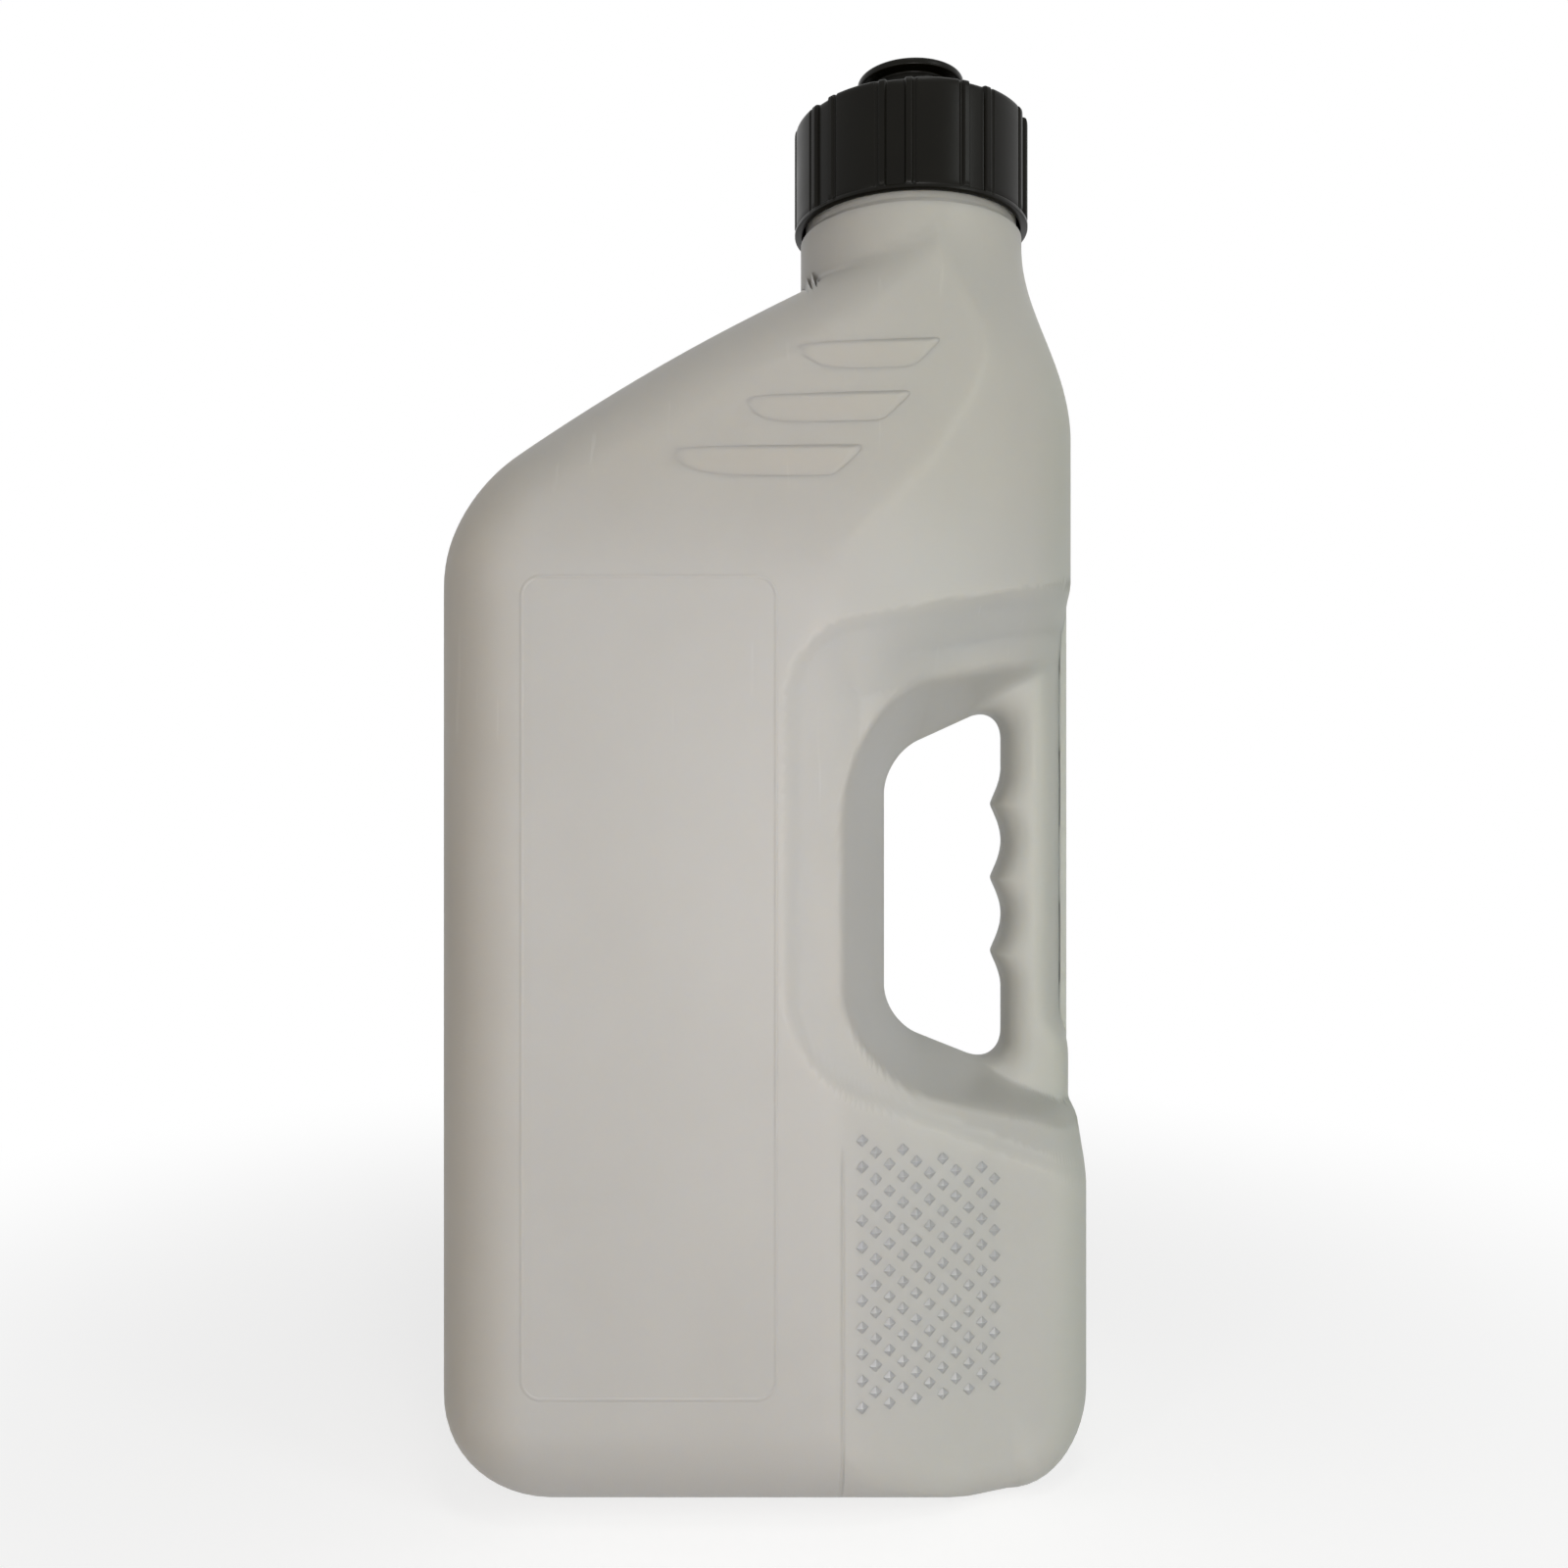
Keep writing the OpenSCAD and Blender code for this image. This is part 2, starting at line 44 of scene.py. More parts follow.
NECK_R, NECK_X = 51.3, 65.0
NECK_LEFT = NECK_X - NECK_R
SLOPE_LOW_Z, SLOPE_HIGH_Z, SLOPE_BULGE = 419.0, 522.0, 6.0
SLOPE = math.atan2(SLOPE_HIGH_Z - SLOPE_LOW_Z, NECK_LEFT + HALF_W)
PANEL_H, LEAN, SHOULDER_MIN, SIDE_H = 393.0, math.radians(18.3), 57.0, 458.0
FACET_W, TAPER, FACET_R = 112.5, math.radians(20.8), 30.0
FACET_HALF = HALF_D - FACET_R * math.cos(TAPER) - math.tan(TAPER) * (
    FACET_W - FACET_R * (1 - math.sin(TAPER)))
FACET_X = HALF_W - FACET_W
STRIP_HALF, CURVE_W, CURVE_H = 4.0, 200.0, 107.0
BAR_D, HOLE_W, HOLE_H, HOLE_Z, HOLE_R = 38.0, 55.5, 124.0, 252.0, 16.0
HOLE_RIGHT = HALF_W - 30.0
HOLE_LEFT = HOLE_RIGHT - HOLE_W
HOLE_X = (HOLE_LEFT + HOLE_RIGHT) / 2
TOP_RISE, BOTTOM_FALL = math.radians(24.5), math.radians(21.7)
FINGER_PITCH, FINGER_H, FINGER_UP = 34.7, 5.5, 4.8
DRAFTS = [math.tan(math.radians(a)) for a in (14.7, 9.0, 18.4)]
RECESS_LEFT, RECESS_H, RECESS_Z = HOLE_LEFT - 48.5, 175.0, 274.5
RECESS_RISE, RECESS_FALL = math.radians(12.3), math.radians(24.0)
STEP, BEVEL, RECESS_R = 3.5, 6.6, 28.0
SEAM = 1.2
NECK_FOOT = BODY_H - 5
FACET_TOP, FACET_FADE = 167.0, 30.0
FINISH_TOP = 598.6
PITCH, RIDGE, THREAD_START = 6.0, 1.1, 594.5


def ramp(t):
    """0 to 1, smooth at both ends."""
    c = np.clip(t, 0, 1)
    return c * c * (3 - 2 * c)


def mix(a, b, t):
    return a + (b - a) * t


def low(a, b, k):
    """The lesser of a and b, blended over k."""
    t = np.clip(0.5 + 0.5 * (b - a) / k, 0, 1)
    return mix(b, a, t) - k * t * (1 - t)


def high(a, b, k):
    return -low(-a, -b, k)


def inset(dists, r):
    """Distance inside the corner of several edges, rounded by r."""
    least = dists[0]
    total = 0.0
    for d in dists:
        least = np.minimum(least, d)
        total = total + np.maximum(r - d, 0) ** 2
    return np.maximum(r, least) - np.sqrt(total)


def arc(d, r, o):
    """Height of a quarter round of radius r at d from its edge, offset inwards by o."""
    inside = np.sqrt(np.maximum((r - o) ** 2 - (r - d) ** 2, 0))
    return np.where(d <= o, 6 * (d - o), np.where(d >= r, r - o, inside))


def side_x(z):
    """The handle side's outline."""
    return mix(HALF_W, NECK_X + NECK_R, ramp((z - SIDE_H) / (NECK_FOOT - SIDE_H)))


def slope_z(x):
    return SLOPE_LOW_Z + (x + HALF_W) * math.tan(SLOPE)


def slope_rise(x):
    t = np.clip((x + HALF_W) / (NECK_LEFT + HALF_W), 0, 1)
    return 4 * SLOPE_BULGE * t * (1 - t)


BEND_X = SLOPE_CORNER_R - HALF_W
BEND_Z = slope_z(BEND_X) - SLOPE_CORNER_R / math.cos(SLOPE)


def panel_half(z, o):
    shoulder = high(HALF_D - (z - PANEL_H) * math.tan(LEAN), SHOULDER_MIN + 0 * z, 8) - o / math.cos(LEAN)
    return low(HALF_D - o + 0 * z, shoulder, 5)


def corner_d(d, z, r):
    """Distance from the outline, with the lower corner rounded by r."""
    return np.where(d < r, r - np.hypot(np.maximum(0, r - d), np.maximum(0, r - z)), d)


def with_base(side, base, d, z, r):
    """Turns the side's form into the base edge's round a lower corner."""
    a, b = np.maximum(0, r - d), np.maximum(0, r - z)
    share = a * a / np.maximum(1e-9, a * a + b * b)
    return np.where(z >= r, side, mix(base, side, share))


def plain_half(x, z, o):
    d = x + HALF_W
    c = corner_d(d, z, PLAIN_R)
    up = z - slope_rise(x)
    qx, qz = x - BEND_X, up - BEND_Z
    turned = (qz > 0) & (qx * math.cos(SLOPE) + qz * math.sin(SLOPE) < 0)
    edge = np.where(turned, SLOPE_CORNER_R - np.hypot(qx, qz),
                    np.minimum(c, (slope_z(x) - up) * math.cos(SLOPE)))
    side = panel_half(z, 0) - EDGE_R + arc(edge, EDGE_R, o)
    base = HALF_D - PLAIN_R + arc(np.where(d < PLAIN_R, c, z), PLAIN_R, o)
    return with_base(side, base, d, z, PLAIN_R)


def facet_half_at(d, o):
    turn = FACET_R - (FACET_R - o) * math.sin(TAPER)
    return np.where(d < turn, FACET_HALF + arc(d, FACET_R, o),
                    HALF_D - math.tan(TAPER) * (FACET_W - d) - o / math.cos(TAPER))


def handle_side_half(x, z, o):
    d = side_x(z) - x
    c = corner_d(d, z, CORNER_R)
    r = mix(FACET_BASE_R, CORNER_R, ramp((d - 60) / 52))
    base = facet_half_at(np.maximum(d, CORNER_R), o) + o - r + arc(np.where(d < CORNER_R, c, z), r, o)
    facet = with_base(facet_half_at(c, o), base, d, z, CORNER_R)
    up = ramp((z - SIDE_H - 20) / (NECK_FOOT - SIDE_H - 20))
    w, rise, base = mix(CURVE_W, NECK_R, up), mix(CURVE_H, NECK_R, up), mix(STRIP_HALF, 0, up)
    t = np.clip((w - d) / (w - o), 0, 1)
    curve = np.where(d <= o, base + 6 * (d - o), base + (rise - o) * np.sqrt(1 - t * t))
    return mix(facet, curve, ramp((z - FACET_TOP) / FACET_FADE))


def body_half(x, z, o):
    neck = np.sqrt(np.maximum(0, (NECK_R - o) ** 2 - (x - NECK_X) ** 2))
    side = low(panel_half(z, o), handle_side_half(x, z, o), 2)
    return low(side, high(plain_half(x, z, o), neck, 3), 0.5)


def recess_drop(x, z):
    """How far the recess round the handle lies below the body's surface."""
    fall, rise = math.tan(RECESS_FALL), math.tan(RECESS_RISE)
    bottom = (z - RECESS_Z + RECESS_H / 2 + (x - RECESS_LEFT) * fall) * math.cos(RECESS_FALL)
    top = (RECESS_Z + RECESS_H / 2 + (x - RECESS_LEFT) * rise - z) * math.cos(RECESS_RISE)
    d = inset([x - RECESS_LEFT, bottom, top], RECESS_R)
    sill = np.minimum(18, np.maximum(0, bottom - BEVEL))
    step = STEP * mix(ramp(d / BEVEL), np.clip(d / BEVEL, 0, 1), 0.7)
    dish = 0.3 * np.minimum(25, np.maximum(0, d - BEVEL))
    return step + dish + 0.65 * np.minimum(sill, np.maximum(0, d)) * ramp((x - HOLE_LEFT + 17) / 45)


def hole_edges(x, z):
    bottom = (z - HOLE_Z + HOLE_H / 2 + (x - HOLE_LEFT) * math.tan(BOTTOM_FALL)) * math.cos(BOTTOM_FALL)
    top = (HOLE_Z + HOLE_H / 2 + (x - HOLE_LEFT) * math.tan(TOP_RISE) - z) * math.cos(TOP_RISE)
    return bottom, top


def finger_x(z):
    t = (z - HOLE_Z - FINGER_UP) / FINGER_PITCH
    lobe = FINGER_H * (1 - np.sqrt(np.sin(math.pi * t) ** 2 + 0.01))
    return HOLE_RIGHT - np.where(np.abs(t) > 1.5, 0, lobe)


def hole_d(x, z):
    bottom, top = hole_edges(x, z)
    return inset([x - HOLE_LEFT, bottom, top, finger_x(z) - x], HOLE_R)


def half_depth(x, z, o=0.0):
    """The skin's distance from the parting plane; o is the offset of the inner skin."""
    bottom, top = hole_edges(x, z)
    reach = [np.maximum(0, HOLE_R - x + HOLE_LEFT), np.maximum(0, HOLE_R - bottom),
             np.maximum(0, HOLE_R - top)]
    n = np.maximum(0.001, np.sqrt(sum(a * a for a in reach)))
    s = sum(a * a / t for a, t in zip(reach, DRAFTS)) / (n * n)
    wall = s * (n - HOLE_R) - o * np.sqrt(1 + s * s)
    corner = -hole_d(x, z) * ramp((x - HOLE_RIGHT + 18) / 8)
    start, end = np.maximum(x - finger_x(z), corner) - o, side_x(z) - x - o
    u = np.clip(start / np.maximum(1, start + end), 0, 1)
    bar = (BAR_D / 2 - o) * (1 - np.abs(2 * u - 1) ** 2.6) ** (1 / 2.6)
    return np.maximum(SEAM, low(body_half(x, z, o) - recess_drop(x, z), high(bar, wall, 8), 8))


# Meshes
def make(name, verts, faces, body, material, smooth=True, sharp=None):
    """verts in mm, faces as index lists; the piece rides on a CAD body."""
    mesh = bpy.data.meshes.new(name)
    mesh.from_pydata((np.asarray(verts, float) * 0.001).tolist(), [], [list(map(int, f)) for f in faces])
    mesh.update()
    mesh.polygons.foreach_set("use_smooth", [smooth] * len(mesh.polygons))
    if sharp is not None:
        mesh.set_sharp_from_angle(angle=math.radians(sharp))
    mesh.materials.append(material)
    o = bpy.data.objects.new(name, mesh)
    bpy.context.scene.collection.objects.link(o)
    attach(o, body)
    return o


def grid_faces(base, rows, cols, closed_rows=False, closed_cols=False, flip=False):
    i = np.arange(rows if closed_rows else rows - 1)
    j = np.arange(cols if closed_cols else cols - 1)
    i, j = [a.ravel() for a in np.meshgrid(i, j, indexing="ij")]
    i2, j2 = (i + 1) % rows, (j + 1) % cols
    quads = np.stack([i * cols + j, i * cols + j2, i2 * cols + j2, i2 * cols + j], 1) + base
    return (quads[:, ::-1] if flip else quads).tolist()


def lathe(name, profile, body, material, steps, radius=None, sharp=35):
    """A closed profile of (r, z) turned about the neck's axis; radius(r, z, angle) may shape it."""
    a = np.linspace(0, 2 * math.pi, steps, endpoint=False)
    r, z = np.array(profile, float).T
    rr, aa = np.meshgrid(r, a)
    zz = np.meshgrid(z, a)[0]
    if radius is not None:
        rr, zz = radius(rr, zz, aa)
    verts = np.stack([NECK_X + rr * np.cos(aa), rr * np.sin(aa), zz], 2).reshape(-1, 3)
    return make(name, verts, grid_faces(0, steps, len(r), True, True), body, material, sharp=sharp)


def rounded(points, radii, n=4):
    """A closed profile with each corner rounded by its radius."""
    out = []
    for k, r in enumerate(radii):
        p, a, b = (np.array(points[i % len(points)], float) for i in (k, k - 1, k + 1))
        if r == 0:
            out.append(tuple(p))
            continue
        u, v = (a - p) / np.linalg.norm(a - p), (b - p) / np.linalg.norm(b - p)
        half = math.acos(np.clip(u @ v, -1, 1)) / 2
        cut = r / math.tan(half)
        for t in np.linspace(0, 1, n + 1):
            w = (1 - t) ** 2 * (p + u * cut) + 2 * t * (1 - t) * p + t * t * (p + v * cut)
            out.append(tuple(w))
    return out


def outline(o, counts):
    """The body's outline from the front, clockwise from the neck's right side."""
    bend = SLOPE_CORNER_R - o
    top = math.pi / 2 + SLOPE
    neck_z = slope_z(NECK_LEFT + o) - o / math.cos(SLOPE)
    n = iter(counts)

    def span(a, b):
        k = next(n)
        return a + (b - a) * np.arange(k) / k

    def turned(x, z, radius, a, b):
        t = span(a, b)
        return x + radius * np.cos(t), z + radius * np.sin(t)

    parts = []
    z = span(BODY_H, SIDE_H)
    parts.append((side_x(z) - o, z))
    for a, b in ((SIDE_H, 370), (370, 150), (150, 107), (107, CORNER_R)):
        z = span(a, b)
        parts.append((HALF_W - o + 0 * z, z))
    parts.append(turned(HALF_W - CORNER_R, CORNER_R, CORNER_R - o, 0, -math.pi / 2))
    x = span(HALF_W - CORNER_R, PLAIN_R - HALF_W)
    parts.append((x, o + 0 * x))
    parts.append(turned(PLAIN_R - HALF_W, PLAIN_R, PLAIN_R - o, 1.5 * math.pi, math.pi))
    z = span(PLAIN_R, BEND_Z)
    parts.append((o - HALF_W + 0 * z, z))
    x, z = turned(BEND_X, BEND_Z, bend, math.pi, top)
    parts.append((x, z + slope_rise(x)))
    t = span(0, 1)
    x = mix(BEND_X + bend * math.cos(top), NECK_LEFT + o, t)
    z = mix(BEND_Z + bend * math.sin(top), neck_z, t)
    parts.append((x, z + slope_rise(x)))
    z = span(neck_z, BODY_H)
    parts.append((NECK_LEFT + o + 0 * z, z))
    t = span(math.pi, 0)
    mouth = (NECK_X + (NECK_R - o) * np.cos(t), BODY_H + 0 * t)
    xs, zs = (np.concatenate([p[i] for p in parts + [mouth]]) for i in (0, 1))
    return xs, zs, len(t)


def spokes(o, counts, near, far, middle):
    """Points (spoke, ring) from the handle opening's edge to the outline."""
    px, pz, mouth = outline(o, counts)
    length = np.hypot(px - HOLE_X, pz - HOLE_Z)
    ux, uz = (px - HOLE_X) / length, (pz - HOLE_Z) / length
    # Each spoke's start is found by halving between two lengths that bracket it.
    a, b = 5 + 0 * length, 130 + 0 * length
    for _ in range(26):
        m = (a + b) / 2
        out = hole_d(HOLE_X + m * ux, HOLE_Z + m * uz) > -o
        a, b = np.where(out, m, a), np.where(out, b, m)
    start = (a + b) / 2
    length = length - start
    near, far = np.array(near), np.array(far)
    f = np.minimum(1, length / (near[-1] + far[0] + middle))[:, None]
    first, last = near * f, length[:, None] - far * f
    t = np.arange(1, middle) / middle
    d = np.concatenate([first, mix(first[:, -1:], last[:, :1], t), last], 1) + start[:, None]
    return HOLE_X + d * ux[:, None], HOLE_Z + d * uz[:, None], mouth


def skin_points(x, z, side, o):
    return np.stack([x, side * half_depth(x, z, o), z], 2).reshape(-1, 3)


def moulded_shell(material):
    """Front and back skins, the strip between them, and an inner skin one wall inside."""
    near = [0, .3, 1, 2, 3.2, 4.6, 6.2] + list(np.arange(8, 61, 2.1))
    far = [45, 40, 35.4, 31.2, 27.2, 23.3, 19.6, 16.2, 13, 10, 7.4, 5.2, 3.3, 1.9, .9, .3, 0]
    x, z, mouth = spokes(0.0, [28, 20, 96, 14, 14, 14, 42, 14, 52, 16, 42, 3, 66], near, far, 42)
    n, m = x.shape
    front, back = skin_points(x, z, -1, 0.0), skin_points(x, z, 1, 0.0)
    small = 0.35
    gx = (half_depth(x + small, z) - half_depth(x - small, z)) / (2 * small)
    gz = (half_depth(x, z + small) - half_depth(x, z - small)) / (2 * small)
    normal = np.stack([-gx, -np.ones_like(gx), -gz], 2)
    # The last ring turns into the strip that closes the sides, so it faces straight out.
    px, pz = x[:, -1], z[:, -1]
    tx, tz = np.roll(px, -1) - np.roll(px, 1), np.roll(pz, -1) - np.roll(pz, 1)
    edge = n - mouth
    normal[:edge, -1] = np.stack([-tz, 0 * tx, tx], 1)[:edge]
    normal /= np.linalg.norm(normal, axis=2, keepdims=True)
    mirrored = normal * [1, -1, 1]
    verts = [front, back]
    norms = [normal.reshape(-1, 3), mirrored.reshape(-1, 3)]
    b = n * m
    faces = grid_faces(0, n, m, closed_rows=True, flip=True) + grid_faces(b, n, m, closed_rows=True)
    i = np.arange(edge)
    k = i + 1
    faces += np.stack([k * m + m - 1, b + k * m + m - 1, b + i * m + m - 1, i * m + m - 1], 1).tolist()
    i = np.arange(n)
    k = (i + 1) % n
    faces += np.stack([i * m, b + i * m, b + k * m, k * m], 1).tolist()
    # Inner skin, coarser, with its own spokes.
    near = [0, 1, 3, 6, 10, 16, 24, 34, 44, 54]
    far = [44, 34, 25, 17, 10, 5, 2, 0]
    xi, zi, mouth_i = spokes(WALL, [12, 8, 30, 5, 4, 5, 14, 5, 16, 6, 12, 2, 66], near, far, 12)
    ni, mi = xi.shape
    fi, bi = 2 * b, 2 * b + ni * mi
    verts += [skin_points(xi, zi, -1, WALL), skin_points(xi, zi, 1, WALL)]
    faces += grid_faces(fi, ni, mi, closed_rows=True) + grid_faces(bi, ni, mi, closed_rows=True, flip=True)
    edge_i = ni - mouth_i
    i = np.arange(edge_i)
    k = i + 1
    last_i = mi - 1
    strip = [fi + i * mi + last_i, bi + i * mi + last_i, bi + k * mi + last_i, fi + k * mi + last_i]
    faces += np.stack(strip, 1).tolist()
    i = np.arange(ni)
    k = (i + 1) % ni
    faces += np.stack([fi + k * mi, bi + k * mi, bi + i * mi, fi + i * mi], 1).tolist()
    # The mouth's rim joins the skins: outer and inner rings have the same count there.
    i = np.arange(mouth)
    k = i + 1
    for outer, inner, turn in ((0, fi, 1), (b, bi, -1)):
        oa, ob = outer + (edge + i) * m + m - 1, outer + ((edge + k) % n) * m + m - 1
        ia, ib = inner + (edge_i + i) * mi + mi - 1, inner + ((edge_i + k) % ni) * mi + mi - 1
        if turn > 0:
            # The last spoke pair closes at the neck's right side, on the first spoke.
            faces += np.stack([oa, ia, ib, ob], 1).tolist()
        else:
            faces += np.stack([ob, ib, ia, oa], 1).tolist()
    ends = [(edge * m + m - 1, b + edge * m + m - 1, bi + edge_i * mi + mi - 1, fi + edge_i * mi + mi - 1),
            (fi + mi - 1, bi + mi - 1, b + m - 1, m - 1)]
    faces += [list(q) for q in ends]
    verts = np.concatenate(verts)
    o = make("jug_shell", verts, faces, "jug", material)
    auto = np.array([v.normal[:] for v in o.data.vertices])
    auto[:2 * b] = np.concatenate(norms)
    o.data.normals_split_custom_set_from_vertices(auto.tolist())
    return o


def neck_finish(material):
    """The neck's thread finish; its root is turned in so that the crest clears the cap."""
    root, crest, bore, foot = 48.9, 50.2, 46.5, 550.2
    profile = [(bore, foot), (root + 0.6, foot), (root + 0.6, 554.0)]
    profile += [(root, z) for z in np.linspace(555.2, 595.6, 68)]
    profile += [(root + 0.2, 597.0), (root - 0.1, 598.1), (root - 0.6, FINISH_TOP),
                (bore + 0.4, FINISH_TOP), (bore, 598.2)]

    def thread(r, z, a):
        # A single start, nearly four turns long, fading at its ends.
        at = (THREAD_START - z) / PITCH
        turn = at - a / (2 * math.pi)
        near = turn - np.round(turn)
        fade = ramp((at - 0.3) / 0.35) * ramp((4.2 - at) / 0.35)
        bump = np.clip(1.6 - np.abs(near) * PITCH / RIDGE, 0, 1)
        return np.where(np.isclose(r, root), r + (crest - root) * bump * fade, r), z

    return lathe("neck_finish", profile, "jug", material, steps=160, radius=thread, sharp=60)


def grip_pyramids(material):
    """Small raised pyramids with a diamond base on the lower facets, front and back."""
    left, top, pitch_x, pitch_z, rows, cols = 35.6, 158.7, 11.26, 5.33, 21, 6
    half, rise, sunk = 3.4, 1.0, -0.3
    # The patch's upper edge falls to the right, along the recess.
    edge_x, edge_z, edge_fall = 37.6, 160.3, 0.319
    corners = ((-half, 0, sunk), (0, -half, sunk), (half, 0, sunk), (0, half, sunk), (0, 0, rise))
    verts, faces = [], []
    for side in (-1, 1):
        for row in range(rows):
            z = top - row * pitch_z
            odd = row % 2
            for col in range(cols - odd):
                x = left + (col + 0.5 * odd) * pitch_x
                if edge_z - z < edge_fall * (x - edge_x):
                    continue
                k = len(verts)
                for dx, dz, up in corners:
                    h = float(half_depth(np.array([x + dx]), np.array([z + dz]))[0])
                    verts.append((x + dx, side * (h + up), z + dz))
                for a in range(4):
                    f = [k + a, k + (a + 1) % 4, k + 4]
                    faces.append(f if side < 0 else f[::-1])
                faces.append([k + 3, k + 2, k + 1, k] if side < 0 else [k, k + 1, k + 2, k + 3])
    return make("grip_pyramids", verts, faces, "jug", material, smooth=False)


def shoulder_louvres(material):
    """Three shallow wedges on each shoulder: a thin ledge on top that fades to the left."""
    verts, faces = [], []
    nu, nv = 60, 30
    above, below, rise, sunk = -1.2, 14.0, 1.4, 0.12
    for xl, zl, xr, zr in ((10.5, 485.0, 69.1, 487.4), (-15.2, 460.5, 55.6, 462.9),
                           (-46.1, 437.8, 35.2, 438.4)):
        u, v = np.meshgrid(np.linspace(0, 1, nu) ** 0.8, np.linspace(0, 1, nv) ** 1.5, indexing="ij")
        v = mix(above, below, v)
        shift = -11.0 * np.clip(v / 12.5, 0, 1.15) * u
        x = mix(xl - 6, xr + 2.5, u) + shift
        z = mix(zl, zr, u) - v
        fade = ramp(u / 0.75) * ramp((1 - u) * (xr - xl) / 4.0)
        lift = np.interp(v, [above, -0.5, 0.2, 0.9, 1.5, 2.0, 10.0, 13.8],
                         [0, 0.1, 0.45, 0.8, 0.97, 1.0, 0.34, 0])
        h = half_depth(x, z) + rise * fade * lift - sunk
        for side in (-1, 1):
            base = len(verts)
            verts += np.stack([x, side * h, z], 2).reshape(-1, 3).tolist()
            faces += grid_faces(base, nu, nv, flip=side > 0)
    return make("shoulder_louvres", verts, faces, "jug", material, sharp=50)


def screw_cap(material):
    """Smooth panels between pairs of ribs, with inner thread and the outlet's tube."""
    bore, root, under, top, outer, foot = 50.6, 51.5, 601.4, 605.8, 54.3, 557.5
    pairs, first, rib_at, rib_half = 9, math.radians(63), 5.95, 2.1
    panel_drop, groove_drop, valley_drop = 0.3, 1.4, 0.7
    edge = 0.9
    profile = [(bore, foot + 0.5), (bore + 0.4, foot), (outer - 0.65, foot), (outer - 0.2, foot + 0.3),
               (outer - 0.15, foot + 1.5), (outer - 0.35, foot + 2.0), (outer, foot + 2.5)]
    profile += [(outer, z) for z in np.linspace(562.0, 602.6, 8)]
    profile += [(outer - 0.1, 604.0), (outer - 0.35, 604.9), (outer - 0.75, 605.4), (outer - 1.2, 605.7),
                (outer - 2.0, top), (44.0, top), (30.0, top), (17.6, top)]
    profile += [(16.9, top + 0.25), (16.55, top + 0.9), (16.5, top + 2), (16.5, 622.2), (16.2, 622.8),
                (15.8, 623.0), (14.1, 623.0), (13.6, 622.7), (13.5, 622.2), (13.5, 601.8), (13.9, under),
                (30.0, under), (49.8, under), (bore, 600.6)]
    profile += [(bore, z) for z in np.linspace(599.8, 560.0, 48)]

    def shape(r, z, a):
        pitch = 2 * math.pi / pairs
        along = np.abs((a + first + pitch / 2) % pitch - pitch / 2) * outer
        rib = ramp((rib_half - np.abs(along - rib_at)) / edge)
        groove = ramp((rib_at - 1.05 - along) / edge)
        valley = ramp((1.2 - np.abs(along - rib_at - 2.35)) / 0.8)
        drop = (panel_drop + groove_drop * groove) * (1 - rib) + valley_drop * valley
        drop = drop * ramp((z - foot - 1.7) / edge)
        body = (r > bore + 0.3) & (z > foot + 1.6)
        r = np.where(body, r - drop * ramp((r - bore - 0.3) / 2.2), r)
        turn = (THREAD_START - z) / PITCH - a / (2 * math.pi) + 0.5
        near = turn - np.round(turn)
        fade = ramp((z - 563.0) / 2) * ramp((597.0 - z) / 2)
        thread = (1 - np.clip(1.7 - np.abs(near) * PITCH / RIDGE, 0, 1)) * fade
        inner = np.isclose(r, bore) & (z > 560.5) & (z < 599.0)
        return np.where(inner, r + (root - bore) * thread - 0.2 * (1 - thread) * fade, r), z

    return lathe("cap_shell", profile, "cap", material, steps=900, radius=shape, sharp=38)


def outlet_cap(material):
    bore, skirt, flange, low_z, under, top = 16.95, 19.25, 24.7, 607.8, 625.8, 629.2
    pts = [(0.001, under), (bore, under), (bore, low_z), (skirt, low_z), (skirt, under), (flange, under),
           (flange, top), (0.001, top)]
    profile = rounded(pts, [0, 0.4, 0.25, 0.5, 1.0, 1.1, 1.2, 0])
    return lathe("outlet_cap_shell", profile, "small_cap", material, steps=128)


def ring(name, r, w, z, t, body, material):
    pts = [(r - w, z), (r, z), (r, z + t), (r - w, z + t)]
    return lathe(name, rounded(pts, [0.35] * 4), body, material, steps=128)


